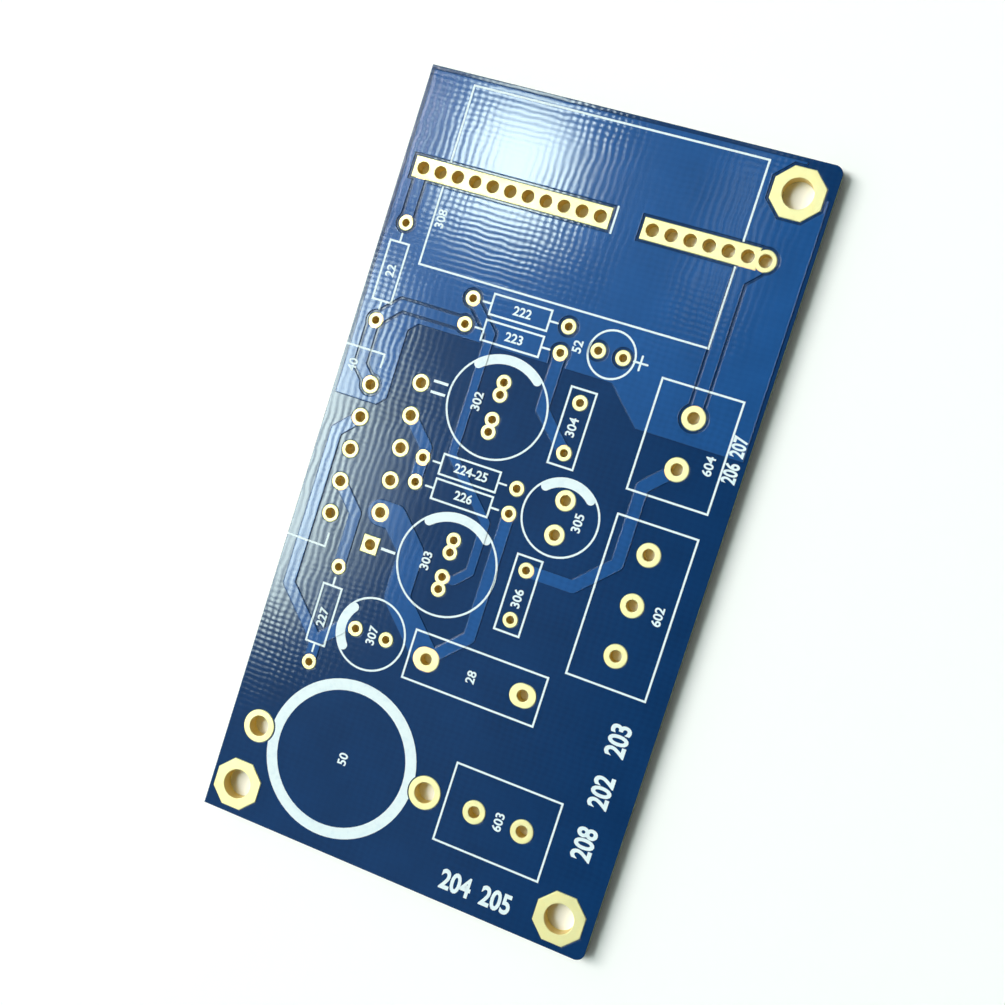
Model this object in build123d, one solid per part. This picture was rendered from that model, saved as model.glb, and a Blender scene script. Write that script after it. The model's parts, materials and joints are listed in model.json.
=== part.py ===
from build123d import *
import os
from dataclasses import dataclass
from math import atan2, degrees, hypot

# A bare two-sided circuit board for an audio power amplifier: a glass-epoxy laminate with
# etched copper on both faces, plated holes for the parts that will be soldered in, solder
# mask over the copper and a printed legend on the front.
# Frame: origin at the centre of the underside, +X across the width, +Y along the length,
# +Z out of the front (component) face. Millimetres.

# ---- Driving dimensions -------------------------------------------------------------------
# Board blank
board_width = 42.0
board_length = 78.7
corner_radius = 0.9          # only the two right-hand corners are rounded

# Layer thicknesses
laminate_thickness = 1.4
copper_thickness = 0.07      # heavy foil, as on power boards
mask_thickness = 0.03
ink_thickness = 0.02
land_proud = 0.02            # plating builds each land up above the foil
plating_wall = 0.05          # wall of the plated barrel in a drilled hole

# Clearances
mask_pullback = 0.06         # the mask stops this far outside a land
copper_gap = 0.35            # between a pour and everything it is isolated from
edge_setback = 0.45          # copper stays this far inside the board's edge
legend_pullback = 0.16       # ink stays this far outside a land
smallest_island = 4.0        # square millimetres: smaller loose islands are etched away

# Holes (finished bores) and lands
mounting_hole = 3.0
mounting_land = 4.9          # octagon, across flats
coil_hole = 2.1
coil_land = 3.3
bar_hole = 1.3
bar_land_height = 2.1
bar_end_margin = 1.0         # land past the last hole of a bar
terminal_hole = 1.2
terminal_land = 2.3
output_resistor_hole = 1.2
output_resistor_land = 2.3
output_resistor_land_length = 2.7
can_hole = 1.1
can_land = 2.0
chip_hole = 1.1
chip_land = 1.75
small_hole = 0.8
small_land = 1.5

# Lead spacings
chip_pitch = 3.4             # between neighbouring pins of one row
chip_row_spacing = 5.08
terminal_pitch = 5.08
resistor_span = 10.16
output_resistor_span = 10.4
film_span = 5.08
can_span = 3.5
small_can_span = 3.4
lamp_span = 2.54
supply_can_spans = (2.54, 5.08)
coil_span = 18.8
bar_pitch = 1.89
left_bar_holes = 11
right_bar_holes = 6
bar_end_step = 1.7           # from the right bar's last hole to its round end hole

# Copper widths
track_width = 1.0
signal_width = 1.2
link_width = 0.85
output_width = 2.6

# Legend widths
legend_line = 0.2
polarity_width = 0.92
coil_ring_width = 1.15

# ---- Places, measured in from the edge that each part belongs to -----------------------------
left = -board_width / 2
right = board_width / 2
bottom = -board_length / 2
top = board_length / 2

mounting_right = right - 3.4
mounting_left = left + 2.9
mounting_bottom = bottom + 3.1
mounting_top = top - 3.4

chip_x = left + 8.9                      # inner pin row
chip_outer_x = chip_x - chip_row_spacing
pin_1_y = bottom + 31.05

bar_y = top - 10.15
left_bar_x = left + 2.35                 # its first hole
right_bar_end_x = right - 4.3            # its round end hole

input_resistor_x = left + 2.3
input_resistor_y = top - 15.85           # its upper hole
column_x = left + 11.45                  # left holes of the four level resistors
sense_resistor_y = top - 21.15
bias_resistor_y = top - 23.8
gain_resistor_y = bottom + 41.05
feedback_resistor_y = bottom + 38.5
mute_resistor_x = left + 6.4
mute_resistor_y = bottom + 27.85         # its upper hole

lamp_x = left + 26.4
lamp_y = top - 22.55
supply_can_x = left + 17.1
upper_supply_can_y = bottom + 48.0
lower_supply_can_y = bottom + 31.7
mute_can_x = left + 11.8
mute_can_y = bottom + 22.55
coil_x = left + 3.3                      # its left hole
coil_y = bottom + 9.6
output_resistor_x = left + 18.1          # its left hole
output_resistor_y = bottom + 22.15

can_x = left + 26.6
can_y = bottom + 39.7
film_x = left + 25.0
upper_film_y = bottom + 48.3
lower_film_y = bottom + 31.25
terminal_x = right - 6.1
input_terminal_y = top - 28.6
power_terminal_y = bottom + 33.95
output_terminal_x = right - 12.0
output_terminal_y = bottom + 9.65

# Heights, from the underside up
back_laminate_z = copper_thickness + mask_thickness
front_laminate_z = back_laminate_z + laminate_thickness


# ---- Flat shapes -----------------------------------------------------------------------------
def round_land(diameter):
    return lambda grow: Circle(diameter / 2 + grow)


def square_land(side):
    return lambda grow: Rectangle(side + 2 * grow, side + 2 * grow)


def octagon_land(flats):
    return lambda grow: RegularPolygon(flats / 2 + grow, 8, major_radius=False, rotation=22.5)


def oval_land(length, width):
    return lambda grow: SlotOverall(length + 2 * grow, width + 2 * grow)


def bar_land(length, height):
    return lambda grow: Rectangle(length + 2 * grow, height + 2 * grow)


def strip(start, end, width):
    """A straight stretch with round ends, as a photoplotter draws it."""
    run = hypot(end[0] - start[0], end[1] - start[1])
    turn = degrees(atan2(end[1] - start[1], end[0] - start[0]))
    middle = Pos((start[0] + end[0]) / 2, (start[1] + end[1]) / 2)
    return middle * SlotCenterToCenter(run, width, rotation=turn)


def joined(shapes):
    """One flat sketch from several."""
    total = shapes[0]
    return total + shapes[1:] if len(shapes) > 1 else total


def route(points, width):
    """A copper track or printed line through its points."""
    return joined([strip(a, b, width) for a, b in zip(points, points[1:])])


def solid_prism(flat, low, high):
    """The flat shape as a plate between two heights."""
    return Pos(0, 0, low) * extrude(flat, amount=high - low, dir=(0, 0, 1))


# ---- Plated holes, grouped by the part that is soldered into them ----------------------------
@dataclass
class Footprint:
    lands: list      # (x, y, land shape)
    holes: list      # (x, y)
    bore: float

    def outline(self, grow):
        return joined([Pos(x, y) * land(grow) for x, y, land in self.lands])

    def bores(self, grow):
        return joined([Pos(x, y) * Circle(self.bore / 2 + grow) for x, y in self.holes])


def pads(places, land, bore):
    return Footprint([(x, y, land) for x, y in places], list(places), bore)


def level_pair(x, y, span):
    return [(x, y), (x + span, y)]


def upright_pair(x, y, span):
    return [(x, y + span / 2), (x, y - span / 2)]


small = round_land(small_land)
terminal = round_land(terminal_land)

chip_inner = [(chip_x, pin_1_y + step * chip_pitch) for step in range(6)]           # 1 3 5 7 9 11
chip_outer = [(chip_outer_x, pin_1_y + (step + 0.5) * chip_pitch) for step in range(5)]  # 2 4 6 8 10
pin_1, pin_3, pin_5 = chip_inner[:3]
pin_9 = chip_inner[4]
pin_2, pin_4 = chip_outer[:2]
pin_8, pin_10 = chip_outer[3:]

left_bar = [(left_bar_x + step * bar_pitch, bar_y) for step in range(left_bar_holes)]
right_bar_last = (right_bar_end_x - bar_end_step, bar_y)
right_bar_first_x = right_bar_last[0] - (right_bar_holes - 1) * bar_pitch
right_bar = [(right_bar_first_x + step * bar_pitch, bar_y) for step in range(right_bar_holes)]
right_bar_end = (right_bar_end_x, bar_y)

mounting = [
    (mounting_right, mounting_top),
    (mounting_right, mounting_bottom),
    (mounting_left, mounting_bottom),
]
coil = level_pair(coil_x, coil_y, coil_span)
input_resistor = [
    (input_resistor_x, input_resistor_y),
    (input_resistor_x, input_resistor_y - resistor_span),
]
sense_resistor = level_pair(column_x, sense_resistor_y, resistor_span)
bias_resistor = level_pair(column_x, bias_resistor_y, resistor_span)
gain_resistor = level_pair(column_x, gain_resistor_y, resistor_span)
feedback_resistor = level_pair(column_x, feedback_resistor_y, resistor_span)
mute_resistor = [
    (mute_resistor_x, mute_resistor_y),
    (mute_resistor_x, mute_resistor_y - resistor_span),
]
output_resistor = level_pair(output_resistor_x, output_resistor_y, output_resistor_span)
lamp = level_pair(lamp_x - lamp_span / 2, lamp_y, lamp_span)
mute_can = level_pair(mute_can_x - small_can_span / 2, mute_can_y, small_can_span)
can = upright_pair(can_x, can_y, can_span)
upper_film = upright_pair(film_x, upper_film_y, film_span)
lower_film = upright_pair(film_x, lower_film_y, film_span)
input_terminal = upright_pair(terminal_x, input_terminal_y, terminal_pitch)
power_terminal = [(terminal_x, power_terminal_y + step * terminal_pitch) for step in (1, 0, -1)]
output_terminal = level_pair(output_terminal_x - terminal_pitch / 2, output_terminal_y, terminal_pitch)


def supply_can(y):
    """Holes for two lead spacings in one line: the inner pair and the outer pair."""
    inner, outer = supply_can_spans
    return [(supply_can_x, y + offset / 2) for offset in (outer, inner, -inner, -outer)]


upper_supply_can = supply_can(upper_supply_can_y)
lower_supply_can = supply_can(lower_supply_can_y)


def bar_footprint(holes):
    """One long land around a line of holes."""
    length = holes[-1][0] - holes[0][0] + 2 * bar_end_margin
    middle = (holes[0][0] + holes[-1][0]) / 2
    return Footprint([(middle, bar_y, bar_land(length, bar_land_height))], list(holes), bar_hole)


right_bar_footprint = bar_footprint(right_bar)
right_bar_footprint.lands.append((*right_bar_end, round_land(bar_land_height)))
right_bar_footprint.holes.append(right_bar_end)

chip_footprint = pads(chip_inner[1:] + chip_outer, round_land(chip_land), chip_hole)
chip_footprint.lands.append((*pin_1, square_land(chip_land)))     # the square land marks pin 1
chip_footprint.holes.append(pin_1)

footprints = {
    "mounting_hole_lands": pads(mounting, octagon_land(mounting_land), mounting_hole),
    "output_coil_lands": pads(coil, round_land(coil_land), coil_hole),
    "input_capacitor_left_bar": bar_footprint(left_bar),
    "input_capacitor_right_bar": right_bar_footprint,
    "amplifier_chip_lands": chip_footprint,
    "input_resistor_lands": pads(input_resistor, small, small_hole),
    "sense_resistor_lands": pads(sense_resistor, small, small_hole),
    "bias_resistor_lands": pads(bias_resistor, small, small_hole),
    "gain_resistor_lands": pads(gain_resistor, small, small_hole),
    "feedback_resistor_lands": pads(feedback_resistor, small, small_hole),
    "mute_resistor_lands": pads(mute_resistor, small, small_hole),
    "output_resistor_lands": pads(
        output_resistor,
        oval_land(output_resistor_land_length, output_resistor_land),
        output_resistor_hole,
    ),
    "power_lamp_lands": pads(lamp, small, small_hole),
    "upper_supply_capacitor_lands": pads(upper_supply_can, small, small_hole),
    "lower_supply_capacitor_lands": pads(lower_supply_can, small, small_hole),
    "feedback_capacitor_lands": pads(can, round_land(can_land), can_hole),
    "mute_capacitor_lands": pads(mute_can, small, small_hole),
    "upper_film_capacitor_lands": pads(upper_film, small, small_hole),
    "lower_film_capacitor_lands": pads(lower_film, small, small_hole),
    "input_terminal_lands": pads(input_terminal, terminal, terminal_hole),
    "power_terminal_lands": pads(power_terminal, terminal, terminal_hole),
    "output_terminal_lands": pads(output_terminal, terminal, terminal_hole),
}


def all_lands(grow):
    return joined([footprint.outline(grow) for footprint in footprints.values()])


# ---- Front copper ----------------------------------------------------------------------------
# Tracks run straight, level or at 45 degrees. Each entry is a list of routes with their widths.
def drop(start, dx):
    """The point reached from start by running dx sideways while falling as far."""
    return (start[0] + dx, start[1] - abs(dx))


input_track_x = chip_outer_x - 1.65
mute_track_x = chip_outer_x - 2.05
sense_track_x = column_x + 2.85
sense_return_x = supply_can_x + 2.55
sense_return_length = 5.1
sense_jog = 1.35             # the last slant of the sense track, up to its land
output_track_x = chip_x + 4.35
output_slant_rise = 0.65     # the output pin's slant ends this far above pin 1
ground_slant = 2.6
ground_end_slant = 3.45
ground_track_x = terminal_x - ground_slant
input_width = 1.1
input_notch = (1.3, 2.3, 1.0)    # the slant below the bar's round end: run, its foot and its head

bias_bend = (input_resistor[1][0] + bias_resistor_y - input_resistor[1][1], bias_resistor_y)
sense_bend = drop(sense_resistor[0], sense_track_x - column_x)
sense_target = lower_supply_can[2]
sense_turn = (sense_return_x, sense_target[1] + sense_jog)
sense_return_y = sense_turn[1] + sense_return_length
sense_knee_y = sense_return_y + sense_return_x - sense_track_x
mute_fork = (mute_resistor_x, mute_resistor[1][1] + 2.3)
mute_bend = (mute_track_x, mute_fork[1] + mute_resistor_x - mute_track_x)
mute_rise = (mute_resistor_x + mute_can_y - mute_fork[1], mute_can_y)
film_bend = (bias_resistor[1][0], upper_film[1][1] + film_x - bias_resistor[1][0])
feedback_bend = (
    feedback_resistor[1][0],
    output_resistor_y + feedback_resistor[1][0] - output_resistor_x,
)
ground_start = drop(input_terminal[1], -ground_slant)
ground_end = (ground_track_x - ground_end_slant, lower_film[0][1])
output_corner = (output_track_x, output_resistor_y + output_resistor_x - output_track_x)
output_bend = (output_track_x, pin_1[1] + output_slant_rise)
output_start = (output_track_x - (pin_3[1] - output_bend[1]), pin_3[1])

front_tracks = {
    "input_track": [
        ([input_terminal[0], (terminal_x, bar_y)], input_width),
        (
            [
                (terminal_x, bar_y - input_notch[1]),
                (terminal_x + input_notch[0], bar_y - input_notch[2]),
            ],
            input_width,
        ),
    ],
    "input_resistor_track": [([left_bar[0], input_resistor[0]], track_width)],
    "chip_input_track": [
        ([input_resistor[1], (input_track_x, input_resistor[1][1] - 0.3)], track_width),
        (
            [
                (input_track_x, input_resistor[1][1] - 0.3),
                (input_track_x, pin_10[1] + pin_10[0] - input_track_x),
                pin_10,
            ],
            track_width,
        ),
        ([input_resistor[1], bias_bend, bias_resistor[0]], track_width),
    ],
    "sense_track": [
        ([sense_resistor[0], sense_bend], link_width),
        ([sense_bend, (sense_track_x, sense_knee_y)], link_width),
        ([(sense_track_x, sense_knee_y), (sense_return_x, sense_return_y)], link_width),
        ([(sense_return_x, sense_return_y), sense_turn], link_width),
        ([sense_turn, drop(sense_turn, -sense_jog), sense_target], link_width),
    ],
    "feedback_pin_track": [
        (
            [pin_9, drop(pin_9, column_x - pin_9[0]), feedback_resistor[0]],
            signal_width,
        ),
    ],
    "mute_track": [
        (
            [pin_8, (mute_track_x, pin_8[1] + mute_track_x - pin_8[0]), mute_bend, mute_fork],
            signal_width,
        ),
        ([mute_fork, mute_resistor[1]], signal_width),
        ([mute_fork, mute_rise, mute_can[0]], signal_width),
    ],
    "negative_pin_track": [
        (
            [pin_4, drop(pin_4, mute_resistor_x - pin_4[0]), mute_resistor[0]],
            signal_width,
        ),
    ],
    "bias_ground_track": [([bias_resistor[1], film_bend, upper_film[1]], signal_width)],
    "feedback_track": [
        ([feedback_resistor[1], feedback_bend, output_resistor[0]], signal_width),
    ],
    "output_pin_track": [
        ([pin_3, output_start, output_bend], output_width),
        ([output_bend, output_corner, output_resistor[0]], output_width),
    ],
    "ground_track": [
        (
            [
                input_terminal[1],
                ground_start,
                (ground_track_x, ground_end[1] + ground_track_x - ground_end[0]),
                ground_end,
                lower_film[0],
            ],
            signal_width,
        ),
    ],
}

# The shield pour covers the upper third, with a leg down the left edge beside the chip.
leg_right = chip_outer_x + 2.05
leg_bottom = (pin_8[1] + pin_10[1]) / 2
shelf_y = bias_resistor_y - 1.3
shelf_end_x = film_x + 2.4
step_y = input_terminal_y
chamfer = 0.9

# ---- Back copper -----------------------------------------------------------------------------
# Two supply tracks and the output run, in a ground pour that fills the rest of the back.
supply_width = 1.8
chip_supply_width = 1.0
chip_lane_x = (chip_x + chip_outer_x) / 2
rail_x = chip_x + 2.3
rail_slant = 1.4
rail_top_y = feedback_resistor_y - 2.05      # the rail turns away below the feedback resistor
pin_4_slant_x = chip_x + 1.6

back_tracks = {
    "positive_supply_track": [
        ([power_terminal[2], lower_film[1], lower_supply_can[3]], supply_width),
        ([lower_supply_can[3], (rail_x, lower_supply_can[3][1]), pin_1], chip_supply_width),
        (
            [
                (rail_x, lower_supply_can[3][1]),
                (rail_x, rail_top_y),
                (rail_x - rail_slant, rail_top_y + rail_slant),
                pin_5,
            ],
            chip_supply_width,
        ),
    ],
    "negative_supply_track": [
        (
            [
                power_terminal[0],
                (film_x + 4.2, upper_film[0][1]),
                upper_film[0],
                upper_supply_can[0],
            ],
            supply_width,
        ),
        (
            [
                upper_supply_can[0],
                (pin_4_slant_x, upper_supply_can[0][1]),
                (chip_lane_x, upper_supply_can[0][1] - pin_4_slant_x + chip_lane_x),
                (chip_lane_x, pin_4[1] + chip_lane_x - pin_4[0]),
                pin_4,
            ],
            chip_supply_width,
        ),
    ],
    "output_track": [
        ([output_resistor[1], (output_resistor[1][0], coil_y + 7.0), coil[1]], output_width),
        ([coil[1], output_terminal[0]], output_width),
    ],
    "output_coil_track": [
        ([output_resistor[0], (coil[0][0] + 4.6, output_resistor_y), coil[0]], output_width),
    ],
}
ground_lands = [
    "input_terminal_lands",
    "feedback_capacitor_lands",
    "mounting_hole_lands",
]


def track_shape(parts, grow=0.0):
    return joined([route(points, width + 2 * grow) for points, width in parts])


def tracks_shape(tracks, grow):
    return joined([track_shape(parts, grow) for parts in tracks.values()])


def large_islands(flat):
    """Drops the loose islands that a board maker etches away."""
    kept = [face for face in flat.faces() if face.area > smallest_island]
    return Sketch() + kept


def front_pour(grow):
    """The shield pour, grown outwards by grow."""
    edge = edge_setback - grow
    outline = Polygon(
        (left + edge, top - edge),
        (left + edge, leg_bottom - grow),
        (leg_right + grow - chamfer, leg_bottom - grow),
        (leg_right + grow, leg_bottom - grow + chamfer),
        (leg_right + grow, shelf_y - grow - chamfer),
        (leg_right + grow + chamfer, shelf_y - grow),
        (shelf_end_x, shelf_y - grow),
        (shelf_end_x + shelf_y - step_y, step_y - grow),
        (right - edge, step_y - grow),
        (right - edge, top - edge),
        align=None,
    )
    gap = copper_gap - grow
    corner_x = (mounting_right + right) / 2
    corner_y = (mounting_top + top) / 2
    corner = Pos(corner_x, corner_y) * Rectangle(
        right - mounting_right, top - mounting_top
    )
    return large_islands(outline - corner - all_lands(gap) - tracks_shape(front_tracks, gap))


def back_pour(grow):
    """The ground pour, grown outwards by grow. It runs up to the ground lands."""
    edge = edge_setback - grow
    outline = Rectangle(board_width - 2 * edge, board_length - 2 * edge)
    gap = copper_gap - grow
    isolated = [
        footprint.outline(gap) for name, footprint in footprints.items() if name not in ground_lands
    ]
    return large_islands(outline - joined(isolated) - tracks_shape(back_tracks, gap))


# ---- Legend ----------------------------------------------------------------------------------
def box_line(low_x, low_y, high_x, high_y):
    """The printed outline of a part seen from above."""
    width = high_x - low_x
    height = high_y - low_y
    outer = Rectangle(width + legend_line, height + legend_line)
    inner = Rectangle(width - legend_line, height - legend_line)
    return Pos((low_x + high_x) / 2, (low_y + high_y) / 2) * (outer - inner)


def ring_line(x, y, radius, width=legend_line):
    return Pos(x, y) * (Circle(radius + width / 2) - Circle(radius - width / 2))


def polarity_mark(x, y, radius, facing, half_angle):
    """The thick arc that marks one side of a capacitor can."""
    arc = CenterArc((x, y), radius, facing - half_angle, 2 * half_angle)
    return SlotArc(arc, polarity_width)


def resistor_legend(first, second):
    """A body outline with a lead line at each end."""
    body_length = 6.1
    half_height = 1.03
    lead_start = 1.15
    level = abs(second[0] - first[0]) > abs(second[1] - first[1])
    x = (first[0] + second[0]) / 2
    y = (first[1] + second[1]) / 2
    half_x, half_y = (body_length / 2, half_height) if level else (half_height, body_length / 2)
    span = hypot(second[0] - first[0], second[1] - first[1])
    reach = span / 2 - lead_start
    leads = []
    for side in (-1, 1):
        start = (x + side * half_x, y) if level else (x, y + side * half_y)
        end = (x + side * reach, y) if level else (x, y + side * reach)
        leads.append(strip(start, end, legend_line))
    return [box_line(x - half_x, y - half_y, x + half_x, y + half_y)] + leads


def capacitor_legend(x, y, radius, facing, half_angle, mark_inset):
    return [
        ring_line(x, y, radius),
        polarity_mark(x, y, radius - mark_inset, facing, half_angle),
    ]


def legend_shape():
    shapes = []
    # Large film capacitor between the two bars, and the tick beside the left bar
    shapes.append(box_line(left + 4.95, bar_y - 9.25, right - 6.85, bar_y + 9.1))
    tick_x = left_bar[-1][0] + bar_end_margin + 0.45
    shapes.append(strip((tick_x, bar_y - 1.3), (tick_x, bar_y + 1.3), legend_line))
    # Six small resistors
    for pair in (input_resistor, sense_resistor, bias_resistor, gain_resistor,
                 feedback_resistor, mute_resistor):
        shapes += resistor_legend(*pair)
    # Output resistor
    shapes.append(box_line(
        output_resistor[0][0] - 1.85, output_resistor_y - 2.5,
        output_resistor[1][0] + 1.85, output_resistor_y + 2.5,
    ))
    # Capacitor cans
    for y in (upper_supply_can_y, lower_supply_can_y):
        shapes += capacitor_legend(supply_can_x + 0.05, y, 5.15, 90, 41, 0.4)
    shapes += capacitor_legend(can_x, can_y, 3.85, 90, 43, 0.42)
    shapes += capacitor_legend(mute_can_x, mute_can_y, 3.65, 180, 39, 0.45)
    # Film capacitors
    for y in (upper_film_y, lower_film_y):
        shapes.append(box_line(film_x - 1.3, y - 3.85, film_x + 1.3, y + 3.85))
    # Lamp, with a plus sign at its positive hole
    lamp_ring = 2.35
    plus_x = lamp_x + lamp_ring + 0.7
    plus_arm = 0.68
    shapes.append(ring_line(lamp_x + 0.1, lamp_y, lamp_ring))
    shapes.append(strip((plus_x - plus_arm, lamp_y), (plus_x + plus_arm, lamp_y), legend_line))
    shapes.append(strip((plus_x, lamp_y - plus_arm), (plus_x, lamp_y + plus_arm), legend_line))
    # Terminal blocks
    shapes.append(box_line(
        terminal_x - 4.0, input_terminal[1][1] - 3.15,
        terminal_x + 4.05, input_terminal[0][1] + 2.8,
    ))
    shapes.append(box_line(
        terminal_x - 4.05, power_terminal[2][1] - 3.15,
        terminal_x + 4.0, power_terminal[0][1] + 2.85,
    ))
    shapes.append(box_line(
        output_terminal[0][0] - 3.1, output_terminal_y - 4.0,
        output_terminal[1][0] + 2.95, output_terminal_y + 4.0,
    ))
    # Output coil: a broad ring between its two holes
    shapes.append(ring_line(coil_x + coil_span / 2, coil_y, coil_span / 2 - 1.9, coil_ring_width))
    # Amplifier chip: two brackets from the board's edge
    bracket_x = chip_outer_x + 0.5
    shapes.append(route(
        [(left, pin_10[1] + 3.3), (bracket_x, pin_10[1] + 3.3), (bracket_x, pin_10[1] + 2.0)],
        legend_line,
    ))
    shapes.append(route(
        [(left, pin_2[1] - 3.4), (bracket_x, pin_2[1] - 3.4), (bracket_x, pin_2[1] - 2.05)],
        legend_line,
    ))
    return joined(shapes)


# ---- Solids ----------------------------------------------------------------------------------
def board_outline():
    blank = Rectangle(board_width, board_length)
    right_corners = blank.vertices().filter_by_position(Axis.X, right - 0.01, right + 0.01)
    return fillet(right_corners, corner_radius)


def plated_holes(footprint):
    """Lands on both faces, joined by the plated barrels."""
    land = footprint.outline(0)
    front = solid_prism(land, front_laminate_z, front_laminate_z + copper_thickness + land_proud)
    back = solid_prism(land, back_laminate_z - copper_thickness - land_proud, back_laminate_z)
    barrels = solid_prism(footprint.bores(plating_wall), back_laminate_z, front_laminate_z)
    bores = solid_prism(footprint.bores(0), -1, front_laminate_z + 1)
    return front + back + barrels - bores


def mask_layer(blank, openings, raised, copper, surface_z, outward):
    """Mask over bare laminate, stepping up over the copper. outward is +1 or -1."""
    def reach(height):
        return sorted([surface_z, surface_z + outward * height])

    mask = solid_prism(blank - openings, *reach(mask_thickness))
    mask += solid_prism(raised - openings, *reach(copper_thickness + mask_thickness))
    for island in copper.faces():
        mask -= solid_prism(island, *reach(copper_thickness))
    return mask


def ink_layer(ink, raised, covered):
    """Ink that follows the mask: over bare laminate, up each step and over the copper."""
    low_z = front_laminate_z + mask_thickness
    high_z = low_z + copper_thickness
    low = solid_prism(ink - raised, low_z, low_z + ink_thickness)
    riser = solid_prism((ink & covered) - raised, low_z + ink_thickness, high_z)
    high = solid_prism(ink & covered, high_z, high_z + ink_thickness)
    return low + riser + high


def main():
    os.makedirs("parts", exist_ok=True)
    nodes = {}
    blank = board_outline()
    lands = all_lands(0)
    openings = all_lands(mask_pullback)

    drills = joined([item.bores(plating_wall) for item in footprints.values()])
    nodes["glass_epoxy_laminate"] = solid_prism(blank - drills, back_laminate_z, front_laminate_z)

    for name, footprint in footprints.items():
        nodes[name] = plated_holes(footprint)

    front_top = front_laminate_z + copper_thickness
    nodes["shield_pour"] = solid_prism(front_pour(0), front_laminate_z, front_top)
    for name, parts in front_tracks.items():
        nodes[name] = solid_prism(track_shape(parts) - lands, front_laminate_z, front_top)
    nodes["feedback_track"] -= nodes["output_pin_track"]     # both run into the output resistor's land

    back_low = back_laminate_z - copper_thickness
    nodes["ground_pour"] = solid_prism(back_pour(0) - lands, back_low, back_laminate_z)
    for name, parts in back_tracks.items():
        nodes[name] = solid_prism(track_shape(parts) - lands, back_low, back_laminate_z)

    front_copper = front_pour(0) + tracks_shape(front_tracks, 0)
    front_raised = front_pour(mask_thickness) + tracks_shape(front_tracks, mask_thickness)
    nodes["front_solder_mask"] = mask_layer(
        blank, openings, front_raised, front_copper, front_laminate_z, 1
    )
    back_copper = back_pour(0) + tracks_shape(back_tracks, 0)
    back_raised = back_pour(mask_thickness) + tracks_shape(back_tracks, mask_thickness)
    nodes["back_solder_mask"] = mask_layer(
        blank, openings, back_raised, back_copper, back_laminate_z, -1
    )

    ink = (legend_shape() & blank) - all_lands(legend_pullback)
    ink_step = mask_thickness + ink_thickness
    ink_covered = front_pour(ink_step) + tracks_shape(front_tracks, ink_step)
    nodes["printed_legend"] = ink_layer(ink, front_raised, ink_covered)

    for name, shape in nodes.items():
        export_step(Compound(children=shape.solids(), label=name), f"parts/{name}.step")
        print(name, len(shape.solids()), round(shape.volume, 4))


main()
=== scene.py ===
# %% [markdown]
# # A bare circuit board for an audio amplifier
#
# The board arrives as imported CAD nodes: a glass-epoxy laminate, etched copper, plated holes,
# solder mask and a printed legend, all at their real size. Those shapes stay as they are. This
# lesson gives them their finishes, prints the numbers that the legend needs, and sets up the
# light, the floor and the camera. Lengths are in metres, and mm is there to write small ones.

# %% Load the board
import json
import math

import bpy
from mathutils import Matrix, Vector


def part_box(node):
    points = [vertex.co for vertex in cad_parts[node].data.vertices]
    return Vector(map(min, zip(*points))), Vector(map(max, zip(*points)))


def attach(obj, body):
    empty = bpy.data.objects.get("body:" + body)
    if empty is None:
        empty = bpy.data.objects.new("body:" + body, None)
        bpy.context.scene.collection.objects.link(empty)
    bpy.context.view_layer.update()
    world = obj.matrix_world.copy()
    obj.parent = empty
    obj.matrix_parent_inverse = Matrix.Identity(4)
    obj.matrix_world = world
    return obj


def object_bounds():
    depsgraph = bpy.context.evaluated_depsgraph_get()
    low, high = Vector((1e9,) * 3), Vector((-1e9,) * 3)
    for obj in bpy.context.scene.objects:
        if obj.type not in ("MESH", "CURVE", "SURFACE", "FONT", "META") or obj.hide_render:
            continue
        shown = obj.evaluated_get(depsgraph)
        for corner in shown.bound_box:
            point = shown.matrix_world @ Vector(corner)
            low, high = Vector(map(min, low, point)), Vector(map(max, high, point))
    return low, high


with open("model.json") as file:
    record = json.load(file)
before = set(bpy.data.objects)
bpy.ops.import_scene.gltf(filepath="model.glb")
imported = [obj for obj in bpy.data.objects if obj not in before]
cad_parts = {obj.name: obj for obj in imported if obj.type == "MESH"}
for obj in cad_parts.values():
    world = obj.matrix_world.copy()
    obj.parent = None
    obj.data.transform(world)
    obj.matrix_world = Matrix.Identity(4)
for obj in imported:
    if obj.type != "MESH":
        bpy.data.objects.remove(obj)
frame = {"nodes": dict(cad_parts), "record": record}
cad_low, cad_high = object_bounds()
nodes = frame["nodes"]
mm = 0.001
board_top = cad_high.z
print("nodes", len(nodes), "board", [round(side / mm, 2) for side in cad_high - cad_low])

# %% [markdown]
# ## The layers
#
# The mask is one skin that steps up over the copper, so its height tells a material what lies
# under it. The heights are read from the CAD nodes themselves: the laminate's faces, the copper
# foil's outer face and the mask's outer face.

# %% Heights of the layers
laminate_low, laminate_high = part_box("glass_epoxy_laminate")
foil_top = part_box("shield_pour")[1].z
foil_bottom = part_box("ground_pour")[0].z
mask_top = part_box("front_solder_mask")[1].z
mask_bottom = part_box("back_solder_mask")[0].z
mask_thickness = mask_top - foil_top
ink_thickness = board_top - mask_top
print("foil top", round(foil_top / mm, 3), "mask top", round(mask_top / mm, 3))

# %% [markdown]
# ## Building node trees
#
# Every finish below is a node tree, and written out in full each would be mostly plumbing. Two
# helpers keep them short: one adds a node, sets its options and fills its sockets, and one
# wires an output to an input. Nodes are placed in a row, so a tree can be read when it is
# opened in the shader editor.

# %% Node helpers
node_step = 220


def add_node(tree, kind, options=None, **sockets):
    """A new node. options are its settings, and sockets are input values by name."""
    made = tree.nodes.new(kind)
    made.location = (len(tree.nodes) * node_step, 0)
    for name, value in (options or {}).items():
        setattr(made, name, value)
    for name, value in sockets.items():
        made.inputs[name.replace("_", " ")].default_value = value
    return made


def wire(tree, output, target):
    tree.links.new(output, target)


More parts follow.
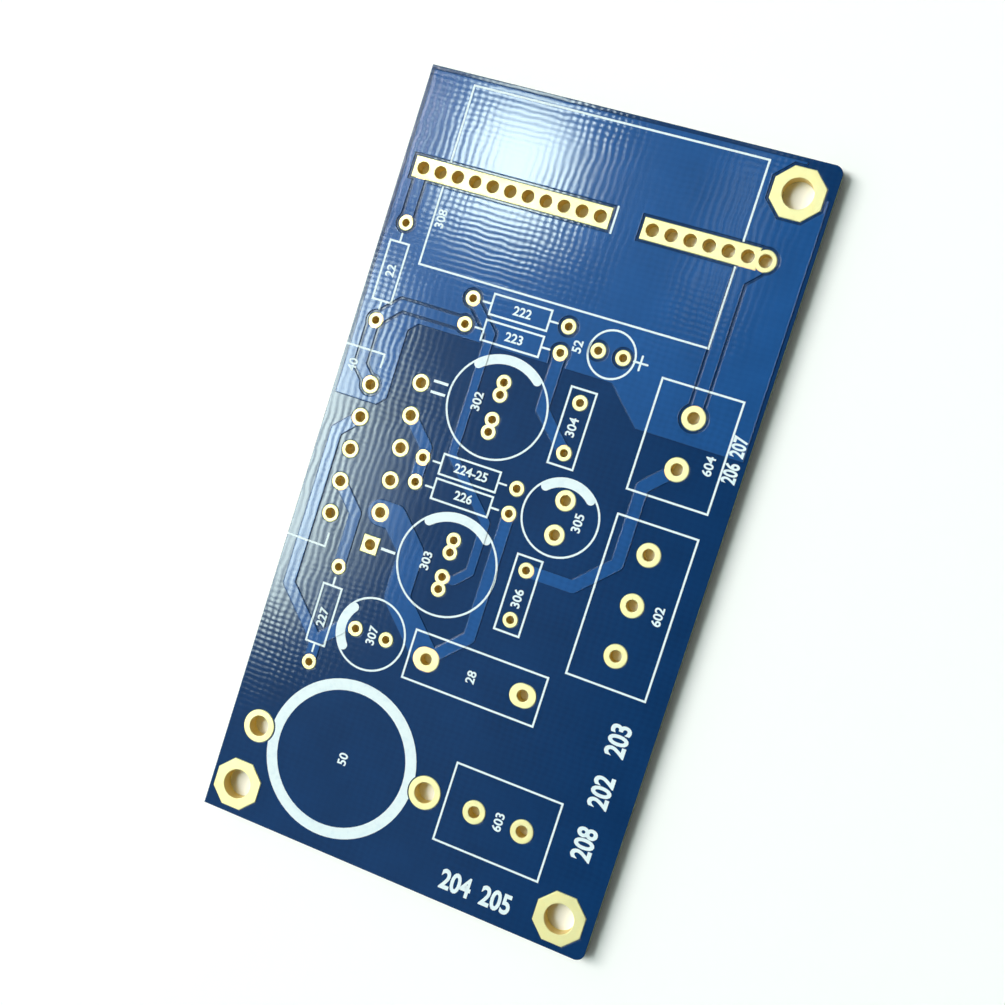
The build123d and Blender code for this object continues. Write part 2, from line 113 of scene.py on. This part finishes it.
def math_node(tree, operation, first, second=None, clamp=False):
    """One sum of two values, each of them a socket or a plain number."""
    made = add_node(tree, "ShaderNodeMath", {"operation": operation, "use_clamp": clamp})
    for socket, value in zip(made.inputs, (first, second)):
        if isinstance(value, bpy.types.NodeSocket):
            wire(tree, value, socket)
        elif value is not None:
            socket.default_value = value
    return made.outputs[0]


def mix_colour(tree, amount, first, second, blend="MIX"):
    """Blends two colours by a socket or a plain number."""
    made = add_node(tree, "ShaderNodeMix", {"data_type": "RGBA", "blend_type": blend})
    for socket, value in ((made.inputs[0], amount), (made.inputs[6], first), (made.inputs[7], second)):
        if isinstance(value, bpy.types.NodeSocket):
            wire(tree, value, socket)
        else:
            socket.default_value = value
    return made.outputs[2]


def map_range(tree, value, low, high, to_low=0.0, to_high=1.0, smooth=False):
    made = add_node(
        tree, "ShaderNodeMapRange", {"interpolation_type": "SMOOTHSTEP" if smooth else "LINEAR"},
        From_Min=low, From_Max=high, To_Min=to_low, To_Max=to_high,
    )
    wire(tree, value, made.inputs[0])
    return made.outputs[0]


def new_material(name):
    """An empty material with its output and one Principled shader."""
    material = bpy.data.materials.new(name)
    material.use_nodes = True
    tree = material.node_tree
    tree.nodes.clear()
    surface = add_node(tree, "ShaderNodeBsdfPrincipled")
    output = add_node(tree, "ShaderNodeOutputMaterial")
    wire(tree, surface.outputs[0], output.inputs[0])
    return material, tree, surface


def new_group(name, inputs, outputs):
    """A shader node group with float inputs, and outputs given as (name, socket type)."""
    group = bpy.data.node_groups.new(name, "ShaderNodeTree")
    for title, value in inputs.items():
        socket = group.interface.new_socket(name=title, in_out="INPUT", socket_type="NodeSocketFloat")
        socket.default_value = value
    for title, kind in outputs:
        group.interface.new_socket(name=title, in_out="OUTPUT", socket_type=kind)
    return group, add_node(group, "NodeGroupInput"), add_node(group, "NodeGroupOutput")


def use_group(tree, group, **values):
    made = add_node(tree, "ShaderNodeGroup", {"node_tree": group})
    for name, value in values.items():
        made.inputs[name.replace("_", " ")].default_value = value
    return made


def object_place(tree):
    return add_node(tree, "ShaderNodeTexCoord").outputs["Object"]


# %% [markdown]
# ## The cloth inside the board
#
# The laminate is woven glass cloth set in epoxy, and its threads print through the mask as a
# fine quilt: one set of ridges along the board and one across it. A wave texture could draw the
# ridges, but two cosines keep the exact thread spacing in millimetres, and a slow noise that
# shifts them first gives the uneven run of real cloth. In some patches the threads are pressed
# flatter than in others, and the same slow noise lifts the whole face in a faint swell. It is a
# group because the mask, the ink and the laminate's edge all use it.

# %% Woven glass group
thread_across = 0.72 * mm       # spacing of the threads that run along the board
thread_along = 0.57 * mm        # spacing of the threads that run across it


def woven_glass_group():
    """Height of the cloth's relief, about 0 to 1."""
    group, given, result = new_group(
        "woven_glass",
        {"Across": thread_across, "Along": thread_along, "Wander": 0.2, "Swell": 0.9},
        [("Height", "NodeSocketFloat")],
    )
    place = object_place(group)
    wander = add_node(group, "ShaderNodeTexNoise", Scale=420.0, Detail=2.0)
    wire(group, place, wander.inputs["Vector"])
    patches = add_node(group, "ShaderNodeTexNoise", Scale=130.0, Detail=1.0)
    wire(group, place, patches.inputs["Vector"])
    axes = add_node(group, "ShaderNodeSeparateXYZ")
    wire(group, place, axes.inputs[0])
    shifts = add_node(group, "ShaderNodeSeparateColor")
    wire(group, wander.outputs["Color"], shifts.inputs[0])
    ridges = []
    for axis, spacing in ((0, "Across"), (1, "Along")):
        turns = math_node(group, "DIVIDE", axes.outputs[axis], given.outputs[spacing])
        shift = math_node(group, "SUBTRACT", shifts.outputs[axis], 0.5)
        shift = math_node(group, "MULTIPLY", shift, given.outputs["Wander"])
        phase = math_node(group, "ADD", turns, math_node(group, "MULTIPLY", shift, 6.0))
        ridges.append(math_node(group, "COSINE", math_node(group, "MULTIPLY", phase, 2 * math.pi)))
    both = math_node(group, "MULTIPLY", math_node(group, "ADD", ridges[0], ridges[1]), 0.25)
    pressed = map_range(group, patches.outputs[0], 0.35, 0.65, 0.45, 1.1)
    swell = math_node(group, "MULTIPLY", wander.outputs[0], given.outputs["Swell"])
    height = math_node(group, "ADD", math_node(group, "MULTIPLY", both, pressed), swell)
    wire(group, math_node(group, "ADD", height, 0.25), result.inputs["Height"])
    return group


woven_glass = woven_glass_group()
print("group", woven_glass.name, "thread spacing", thread_across / mm, thread_along / mm)

# %% [markdown]
# ## Marks of handling
#
# Nothing made is perfectly even: a face that looks plain still has a slight blotch in its gloss
# and a speck of dust here and there. One group gives both, and each finish takes as much of it
# as it needs.

# %% Handling marks group


def handling_marks_group():
    """Blotch: slow variation from 0 to 1. Specks: 1 on rare fine dots."""
    group, given, result = new_group(
        "handling_marks",
        {"Blotch Scale": 250.0, "Speck Scale": 2600.0, "Speck Share": 0.1},
        [("Blotch", "NodeSocketFloat"), ("Specks", "NodeSocketFloat")],
    )
    place = object_place(group)
    blotch = add_node(group, "ShaderNodeTexNoise", Detail=4.0, Roughness=0.6)
    wire(group, place, blotch.inputs["Vector"])
    wire(group, given.outputs["Blotch Scale"], blotch.inputs["Scale"])
    dots = add_node(group, "ShaderNodeTexVoronoi")
    wire(group, place, dots.inputs["Vector"])
    wire(group, given.outputs["Speck Scale"], dots.inputs["Scale"])
    chance = add_node(group, "ShaderNodeSeparateColor")
    wire(group, dots.outputs["Color"], chance.inputs[0])
    rare = math_node(group, "LESS_THAN", chance.outputs[0], given.outputs["Speck Share"])
    near = math_node(group, "LESS_THAN", dots.outputs["Distance"], 0.28)
    specks = math_node(group, "MULTIPLY", rare, near)
    wire(group, blotch.outputs[0], result.inputs["Blotch"])
    wire(group, specks, result.inputs["Specks"])
    return group


handling_marks = handling_marks_group()
print("group", handling_marks.name)

# %% [markdown]
# ## Solder mask
#
# Solder mask is a glossy blue lacquer. Over bare laminate it is nearly navy. Over copper it is
# lighter, because the metal below throws the light back, and there it also takes a little of the
# room's brightness. Both are one material: the height of a point tells what lies below it. The
# lacquer's own shine is a coat on top, broken into glints by the cloth's relief, and the edges
# of the copper are rounded over by a Bevel node, as lacquer that has flowed before it set.

# %% Solder mask material
weave_relief = 0.0045 * mm
lacquer_radius = 0.11 * mm
mask_metal = 0.06               # how metallic the mask is over copper
coat_roughness = 0.09
mask_over_copper = (0.014, 0.083, 0.272, 1.0)
mask_over_laminate = (0.0045, 0.036, 0.128, 1.0)


def solder_mask(name, bare_z, copper_z):
    """Mask whose colour goes from bare to copper between two heights."""
    material, tree, surface = new_material(name)
    axes = add_node(tree, "ShaderNodeSeparateXYZ")
    wire(tree, object_place(tree), axes.inputs[0])
    on_copper = map_range(tree, axes.outputs["Z"], bare_z, copper_z)
    cloth = use_group(tree, woven_glass)
    marks = use_group(tree, handling_marks, Blotch_Scale=180.0)
    blue = mix_colour(tree, on_copper, mask_over_laminate, mask_over_copper)
    depth = map_range(tree, marks.outputs["Blotch"], 0.3, 0.7, 0.9, 1.1)
    depth = math_node(tree, "MULTIPLY", depth, map_range(tree, cloth.outputs["Height"], 0, 1, 0.93, 1.08))
    scaled = add_node(tree, "ShaderNodeVectorMath", {"operation": "SCALE"})
    wire(tree, blue, scaled.inputs[0])
    wire(tree, depth, scaled.inputs["Scale"])
    wire(tree, scaled.outputs[0], surface.inputs["Base Color"])
    wire(tree, math_node(tree, "MULTIPLY", on_copper, mask_metal), surface.inputs["Metallic"])
    wire(tree, map_range(tree, marks.outputs["Blotch"], 0.3, 0.7, 0.38, 0.46), surface.inputs["Roughness"])
    surface.inputs["Specular IOR Level"].default_value = 0.0
    surface.inputs["Coat Weight"].default_value = 1.0
    surface.inputs["Coat Roughness"].default_value = coat_roughness
    flow = add_node(tree, "ShaderNodeBevel", {"samples": 6}, Radius=lacquer_radius)
    bump = add_node(tree, "ShaderNodeBump", Distance=weave_relief, Strength=1.0)
    wire(tree, flow.outputs[0], bump.inputs["Normal"])
    wire(tree, cloth.outputs["Height"], bump.inputs["Height"])
    wire(tree, bump.outputs[0], surface.inputs["Normal"])
    wire(tree, bump.outputs[0], surface.inputs["Coat Normal"])
    return material


front_mask = solder_mask("front_solder_mask", laminate_high.z + mask_thickness, mask_top)
back_mask = solder_mask("back_solder_mask", laminate_low.z - mask_thickness, mask_bottom)
print("mask materials", front_mask.name, back_mask.name)

# %% [markdown]
# ## Gold plating
#
# The lands and the barrels through the board are copper with a thin wash of gold. On the open
# faces it is pale and satin. Down in the holes the gold is given a darker, browner colour:
# painted shade for the depth of the holes.

# %% Gold plating material
gold_face = (0.97, 0.90, 0.46, 1.0)
gold_worn = (0.97, 0.82, 0.32, 1.0)
# darker, browner gold for the barrels: painted shade down in the holes
barrel_gold_painted_shade = (0.84, 0.64, 0.22, 1.0)
face_metal = 0.38
barrel_metal = 0.3
land_rim_radius = 0.07 * mm
plating_relief = 0.006 * mm


def gold_plating():
    material, tree, surface = new_material("gold_plating")
    axes = add_node(tree, "ShaderNodeSeparateXYZ")
    wire(tree, object_place(tree), axes.inputs[0])
    below_front = math_node(tree, "LESS_THAN", axes.outputs["Z"], laminate_high.z)
    above_back = math_node(tree, "GREATER_THAN", axes.outputs["Z"], laminate_low.z)
    in_barrel = math_node(tree, "MULTIPLY", below_front, above_back)
    wire(tree, map_range(tree, in_barrel, 0, 1, face_metal, barrel_metal), surface.inputs["Metallic"])
    marks = use_group(tree, handling_marks, Blotch_Scale=900.0, Speck_Share=0.04)
    # the barrels take the darker gold, which is painted shade in the holes
    gold = mix_colour(tree, in_barrel, gold_face, barrel_gold_painted_shade)
    worn = map_range(tree, marks.outputs["Blotch"], 0.45, 0.75, 0.0, 0.4)
    worn = math_node(tree, "MULTIPLY", worn, math_node(tree, "SUBTRACT", 1.0, in_barrel))
    gold = mix_colour(tree, worn, gold, gold_worn)
    wire(tree, gold, surface.inputs["Base Color"])
    wire(tree, map_range(tree, marks.outputs["Blotch"], 0.3, 0.7, 0.34, 0.5), surface.inputs["Roughness"])
    rim = add_node(tree, "ShaderNodeBevel", {"samples": 6}, Radius=land_rim_radius)
    bump = add_node(tree, "ShaderNodeBump", Distance=plating_relief, Strength=1.0)
    wire(tree, rim.outputs[0], bump.inputs["Normal"])
    wire(tree, marks.outputs["Blotch"], bump.inputs["Height"])
    wire(tree, bump.outputs[0], surface.inputs["Normal"])
    return material


gold = gold_plating()

# %% [markdown]
# ## Copper foil, laminate and ink
#
# Copper shows only in the hairline between a land and the mask, where it was gilded with the
# land. The laminate shows on the board's edge and in the drilled walls: greenish yellow epoxy
# with the cut ends of the glass threads in it. The ink is a thin matt white with a hint of the
# blue beneath it.

# %% Copper, laminate and ink materials
ply = 0.19 * mm                 # thickness of one layer of cloth
drilled_relief = 0.02 * mm


def copper_foil():
    material, tree, surface = new_material("copper_foil")
    surface.inputs["Metallic"].default_value = 1.0
    marks = use_group(tree, handling_marks, Blotch_Scale=700.0)
    tone = mix_colour(tree, marks.outputs["Blotch"], (0.95, 0.68, 0.34, 1.0), (0.86, 0.56, 0.26, 1.0))
    wire(tree, tone, surface.inputs["Base Color"])
    wire(tree, map_range(tree, marks.outputs["Blotch"], 0.3, 0.7, 0.35, 0.5), surface.inputs["Roughness"])
    return material


def glass_epoxy():
    material, tree, surface = new_material("glass_epoxy")
    axes = add_node(tree, "ShaderNodeSeparateXYZ")
    wire(tree, object_place(tree), axes.inputs[0])
    layer = math_node(tree, "MULTIPLY", axes.outputs["Z"], 2 * math.pi / ply)
    cloth = use_group(tree, woven_glass, Wander=0.5)
    marks = use_group(tree, handling_marks, Blotch_Scale=1800.0, Speck_Share=0.25)
    plies = math_node(tree, "ADD", math_node(tree, "COSINE", layer), cloth.outputs["Height"])
    resin = mix_colour(
        tree, map_range(tree, plies, -0.6, 1.6), (0.16, 0.19, 0.10, 1.0), (0.36, 0.40, 0.26, 1.0)
    )
    resin = mix_colour(tree, math_node(tree, "MULTIPLY", marks.outputs["Specks"], 0.5), resin,
                       (0.6, 0.62, 0.5, 1.0))
    wire(tree, resin, surface.inputs["Base Color"])
    surface.inputs["Roughness"].default_value = 0.75
    bump = add_node(tree, "ShaderNodeBump", Distance=drilled_relief, Strength=0.6)
    wire(tree, marks.outputs["Blotch"], bump.inputs["Height"])
    wire(tree, bump.outputs[0], surface.inputs["Normal"])
    return material


def legend_ink():
    material, tree, surface = new_material("legend_ink")
    marks = use_group(tree, handling_marks, Blotch_Scale=1400.0, Speck_Scale=9000.0, Speck_Share=0.08)
    cloth = use_group(tree, woven_glass)
    thin = map_range(tree, marks.outputs["Blotch"], 0.5, 0.8, 0.0, 0.3)
    thin = math_node(tree, "ADD", thin, math_node(tree, "MULTIPLY", marks.outputs["Specks"], 0.12))
    tone = mix_colour(tree, thin, (0.80, 0.91, 0.95, 1.0), (0.42, 0.60, 0.75, 1.0))
    wire(tree, tone, surface.inputs["Base Color"])
    wire(tree, map_range(tree, marks.outputs["Blotch"], 0.3, 0.7, 0.45, 0.6), surface.inputs["Roughness"])
    bump = add_node(tree, "ShaderNodeBump", Distance=weave_relief, Strength=1.0)
    wire(tree, cloth.outputs["Height"], bump.inputs["Height"])
    wire(tree, bump.outputs[0], surface.inputs["Normal"])
    return material


foil = copper_foil()
laminate = glass_epoxy()
ink = legend_ink()

# %% [markdown]
# ## Finishes on the CAD nodes
#
# The record already says which finish each node has, as a material slot. Reading it from there
# means that a node can't be missed.

# %% Give each CAD node its finish
finishes = {
    "glass_epoxy": laminate,
    "blue_solder_mask": front_mask,
    "gold_plating": gold,
    "copper_foil": foil,
    "white_legend_ink": ink,
}


def finish_node(node, material):
    node.data.materials.clear()
    node.data.materials.append(material)


for part in frame["record"]["subparts"]:
    finish_node(nodes[part["node"]], finishes[part["material_slot"]])
finish_node(nodes["back_solder_mask"], back_mask)

# %% [markdown]
# ## Printed numbers
#
# The legend's outlines are CAD, and its numbers are type, which Blender sets better: a text
# object is typed, thickened a little with its offset as screen ink spreads, turned into a mesh
# and dropped onto the mask. A number lies on the mask over copper, or over bare laminate, or it
# crosses the edge of a track. One that crosses has its ink reach down to the lower of the two.

# %% Number setting
bare_level = laminate_high.z + mask_thickness
copper_level = mask_top
ink_levels = {
    "bare": (bare_level, bare_level + ink_thickness),
    "copper": (copper_level, copper_level + ink_thickness),
    "edge": (bare_level, copper_level + ink_thickness),
}
capital_share = 0.72            # how much of a type's size its capitals fill


def print_number(name, text, x, y, height, turn=0, on="bare", spread=0.03, squeeze=1.0):
    """Sets a number centred on x, y in millimetres, with digits of the given height."""
    bpy.ops.object.select_all(action="DESELECT")
    bpy.ops.object.text_add()
    number = bpy.context.object
    number.name = name
    low, high = ink_levels[on]
    number.data.body = text
    number.data.align_x = "CENTER"
    number.data.align_y = "CENTER"
    number.data.size = height * mm / capital_share
    number.data.offset = spread * mm
    number.data.extrude = (high - low) / 2
    number.data.resolution_u = 4
    bpy.ops.object.convert(target="MESH")
    place = Matrix.Translation((x * mm, y * mm, (low + high) / 2))
    turned = Matrix.Rotation(math.radians(turn), 4, "Z")
    number.data.transform(place @ turned @ Matrix.Diagonal((squeeze, 1, 1, 1)))
    number.data.materials.append(ink)
    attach(number, "root")
    return number


# %% [markdown]
# The parts are numbered by kind: resistors in the twenties and the two hundred and twenties,
# capacitors from 302, terminals from 602, and each wire's hole from 202 in bold. Where the board
# is read from its side, the type is set along its length, which is a quarter turn.

# %% Part numbers
quarter = 90
light_height = 0.92
light_numbers = [
    # name, text, x, y, turn, what is under it
    ("number_large_capacitor", "308", -15.2, 24.8, quarter, "copper"),
    ("number_input_resistor", "22", -18.7, 18.5, quarter, "copper"),
    ("number_sense_resistor", "222", -4.25, 18.15, 0, "copper"),
    ("number_bias_resistor", "223", -4.25, 15.5, 0, "copper"),
    ("number_lamp", "52", 2.1, 16.6, quarter, "copper"),
    ("number_chip", "40", -19.6, 8.4, quarter, "edge"),
    ("number_upper_can", "302", -5.9, 8.65, quarter, "edge"),
    ("number_upper_film", "304", 4.0, 9.0, quarter, "bare"),
    ("number_input_terminal", "604", 17.7, 9.4, quarter, "bare"),
    ("number_gain_resistor", "224-25", -4.3, 1.7, 0, "edge"),
    ("number_feedback_resistor", "226", -4.3, -0.85, 0, "edge"),
    ("number_can", "305", 7.45, 0.4, quarter, "bare"),
    ("number_lower_can", "303", -5.95, -7.9, quarter, "edge"),
    ("number_lower_film", "306", 4.05, -8.45, quarter, "bare"),
    ("number_power_terminal", "602", 17.6, -5.6, quarter, "bare"),
    ("number_mute_resistor", "227", -14.6, -16.9, quarter, "edge"),
    ("number_mute_can", "307", -9.0, -16.9, quarter, "bare"),
    ("number_output_resistor", "28", 2.05, -17.3, quarter, "bare"),
    ("number_coil", "50", -8.0, -29.7, quarter, "bare"),
    ("number_output_terminal", "603", 9.1, -29.7, quarter, "bare"),
]
for name, text, x, y, turn, under in light_numbers:
    print_number(name, text, x, y, light_height, turn, under)

pin_height = 1.6
print_number("number_first_pin", "1", -10.0, -8.3, pin_height, quarter)
print_number("number_last_pin", "11", -10.0, 8.75, pin_height, quarter)

bold_height = 1.95
bold_spread = 0.085
bold_squeeze = 0.8
bold_numbers = [
    # name, text, x, y, turn
    ("number_positive_wire", "208", 17.75, -28.55, quarter),
    ("number_ground_wire", "202", 17.75, -23.25, quarter),
    ("number_negative_wire", "203", 17.75, -18.0, quarter),
    ("number_output_wire", "204", 6.9, -37.1, 0),
    ("number_output_ground", "205", 11.2, -37.1, 0),
]
for name, text, x, y, turn in bold_numbers:
    print_number(name, text, x, y, bold_height, turn, "bare", bold_spread, bold_squeeze)

wire_height = 1.35
wire_spread = 0.055
wire_squeeze = 0.7
wire_x = 19.85
for name, text, y, under in (
    ("number_input_ground", "206", 9.4, "bare"),
    ("number_input_wire", "207", 11.95, "copper"),
):
    print_number(name, text, wire_x, y, wire_height, quarter, under, wire_spread, wire_squeeze)

# %% [markdown]
# ## Camera
#
# The board is seen almost from above and turned in the picture, so the camera is placed by three
# things: where it stands, the point that it looks at, and the direction on the board that points
# up in the picture.

# %% Camera
camera_place = Vector((32.4, 7.95, 126.4)) * mm
camera_target = Vector((-0.34, -0.01, 1.6)) * mm
picture_up = Vector((-0.3098, 0.9506, 0.0206))
sensor = 36.0
lens = 47.36

bpy.ops.object.camera_add(location=camera_place)
camera = bpy.context.object
camera.name = "camera"
camera.data.sensor_width = sensor
camera.data.lens = lens
camera.data.clip_start = 0.01
looking = (camera_place - camera_target).normalized()
sideways = picture_up.cross(looking).normalized()
upright = looking.cross(sideways)
camera.rotation_mode = "QUATERNION"
camera.rotation_quaternion = Matrix((sideways, upright, looking)).transposed().to_quaternion()
bpy.context.scene.camera = camera
print("camera", round((camera_place - camera_target).length / mm, 1), "mm away")

# %% [markdown]
# ## Floor
#
# A broad pale floor lies just under the board. To the camera it glows very slightly, which lifts
# it to white without adding light to the board, and it still takes the board's shadow. Under the
# board it doesn't glow, so the drilled holes stay as dark as they should.

# %% Floor
floor_side = 3.0
floor_glow = 0.05
bpy.ops.object.select_all(action="DESELECT")
bpy.ops.mesh.primitive_plane_add(size=floor_side, location=(0, 0, cad_low.z))
floor = bpy.context.object
floor.name = "floor"
bpy.ops.object.transform_apply(location=True)


def floor_paper():
    material, tree, surface = new_material("floor_paper")
    surface.inputs["Roughness"].default_value = 0.95
    surface.inputs["Specular IOR Level"].default_value = 0.1
    surface.inputs["Base Color"].default_value = (0.98, 0.98, 0.98, 1.0)
    surface.inputs["Emission Color"].default_value = (1.0, 1.0, 1.0, 1.0)
    axes = add_node(tree, "ShaderNodeSeparateXYZ")
    wire(tree, object_place(tree), axes.inputs[0])
    from_side = math_node(tree, "ABSOLUTE", axes.outputs["X"])
    from_end = math_node(tree, "ABSOLUTE", axes.outputs["Y"])
    beyond_side = math_node(tree, "GREATER_THAN", from_side, cad_high.x)
    beyond_end = math_node(tree, "GREATER_THAN", from_end, cad_high.y)
    outside = math_node(tree, "MAXIMUM", beyond_side, beyond_end)
    path = add_node(tree, "ShaderNodeLightPath")
    seen = math_node(tree, "MULTIPLY", path.outputs["Is Camera Ray"], outside)
    wire(tree, math_node(tree, "MULTIPLY", seen, floor_glow), surface.inputs["Emission Strength"])
    return material


floor.data.materials.append(floor_paper())

# %% [markdown]
# ## Light
#
# The glossy mask shows whatever stands above it, so the room matters as much as the lamps. The
# world is a room that is dim overhead and bright low down on the left. Four windows are drawn in
# it: a small bright one whose burst of glints lies on the upper left of the board, a tall one
# whose edge only just reaches the board's left side, a weaker one that spreads that edge, and a
# faint narrow streak. A direction is easiest to think of as a point on a ceiling one metre up, so
# the room is drawn in those coordinates: a direction's x and y, each divided by its z. A broad
# lamp on the left makes the soft shadow on the right.

# %% A soft-edged window, as a group
window_falloff = 1.6
lowest_height = 0.02            # keeps a level direction from dividing by nothing


def soft_window_group():
    """1 inside a rectangle on the ceiling, falling to 0 over the soft distance."""
    group, given, result = new_group(
        "soft_window",
        {"Across": 0.0, "Along": 0.0, "Half Width": 0.1, "Half Length": 0.1, "Soft": 0.05},
        [("Inside", "NodeSocketFloat")],
    )
    axes = add_node(group, "ShaderNodeSeparateXYZ")
    wire(group, add_node(group, "ShaderNodeTexCoord").outputs["Generated"], axes.inputs[0])
    height = math_node(group, "MAXIMUM", axes.outputs["Z"], lowest_height)
    sides = []
    for axis, middle, half in ((0, "Across", "Half Width"), (1, "Along", "Half Length")):
        place = math_node(group, "DIVIDE", axes.outputs[axis], height)
        offset = math_node(group, "ABSOLUTE", math_node(group, "SUBTRACT", place, given.outputs[middle]))
        outside = math_node(group, "SUBTRACT", offset, given.outputs[half])
        fall = math_node(group, "DIVIDE", outside, given.outputs["Soft"])
        sides.append(math_node(group, "SUBTRACT", 1.0, fall, clamp=True))
    both = math_node(group, "MULTIPLY", sides[0], sides[1])
    wire(group, math_node(group, "POWER", both, window_falloff), result.inputs["Inside"])
    return group


soft_window = soft_window_group()

# %% World and lamps
dark_room = 0.02
overhead_room = 0.27
low_room = 1.0
room_colour = (0.84, 1.0, 0.94, 1.0)
windows = [
    # across, along, half width, half length, soft, brightness
    (-0.338, 0.190, 0.028, 0.034, 0.040, 28.0),
    (-0.500, -0.070, 0.075, 0.135, 0.045, 17.0),
    (-0.440, -0.085, 0.065, 0.065, 0.055, 3.6),
    (-0.155, 0.180, 0.006, 0.060, 0.018, 1.8),
]


def light_room():
    world = bpy.context.scene.world or bpy.data.worlds.new("room")
    bpy.context.scene.world = world
    world.use_nodes = True
    tree = world.node_tree
    tree.nodes.clear()
    axes = add_node(tree, "ShaderNodeSeparateXYZ")
    wire(tree, add_node(tree, "ShaderNodeTexCoord").outputs["Generated"], axes.inputs[0])
    low_down = map_range(tree, axes.outputs["Z"], 0.92, 0.45, 0.0, low_room, smooth=True)
    leftward = map_range(tree, axes.outputs["X"], 0.3, -0.7, 0.08, 1.0, smooth=True)
    overhead = map_range(tree, axes.outputs["X"], -0.08, -0.24, dark_room, overhead_room, smooth=True)
    glow = math_node(tree, "MAXIMUM", math_node(tree, "MULTIPLY", low_down, leftward), overhead)
    for across, along, half_width, half_length, soft, brightness in windows:
        window = use_group(tree, soft_window, Across=across, Along=along, Half_Width=half_width,
                           Half_Length=half_length, Soft=soft)
        glow = math_node(tree, "ADD", glow, math_node(tree, "MULTIPLY", window.outputs[0], brightness))
    path = add_node(tree, "ShaderNodeLightPath")
    glow = math_node(tree, "MAXIMUM", glow, path.outputs["Is Camera Ray"])
    background = add_node(tree, "ShaderNodeBackground", Color=room_colour)
    wire(tree, glow, background.inputs["Strength"])
    output = add_node(tree, "ShaderNodeOutputWorld")
    wire(tree, background.outputs[0], output.inputs[0])


def area_lamp(name, direction, distance, width, height, power, colour):
    """A rectangular lamp that stands in a direction from the board and faces it."""
    away = Vector(direction).normalized()
    bpy.ops.object.light_add(type="AREA", location=away * distance)
    lamp = bpy.context.object
    lamp.name = name
    lamp.data.shape = "RECTANGLE"
    lamp.data.size = width
    lamp.data.size_y = height
    lamp.data.energy = power
    lamp.data.color = colour
    lamp.rotation_mode = "QUATERNION"
    lamp.rotation_quaternion = away.to_track_quat("Z", "Y")
    return lamp


lamp_direction = (-0.66, 0.12, 0.74)
lamp_distance = 1.2
lamp_width = 0.45
lamp_height = 0.7
lamp_power = 10.8
lamp_colour = (1.0, 0.97, 0.95)

light_room()
area_lamp(
    "left_lamp", lamp_direction, lamp_distance, lamp_width, lamp_height, lamp_power, lamp_colour
)
bpy.context.scene.view_settings.view_transform = "Standard"
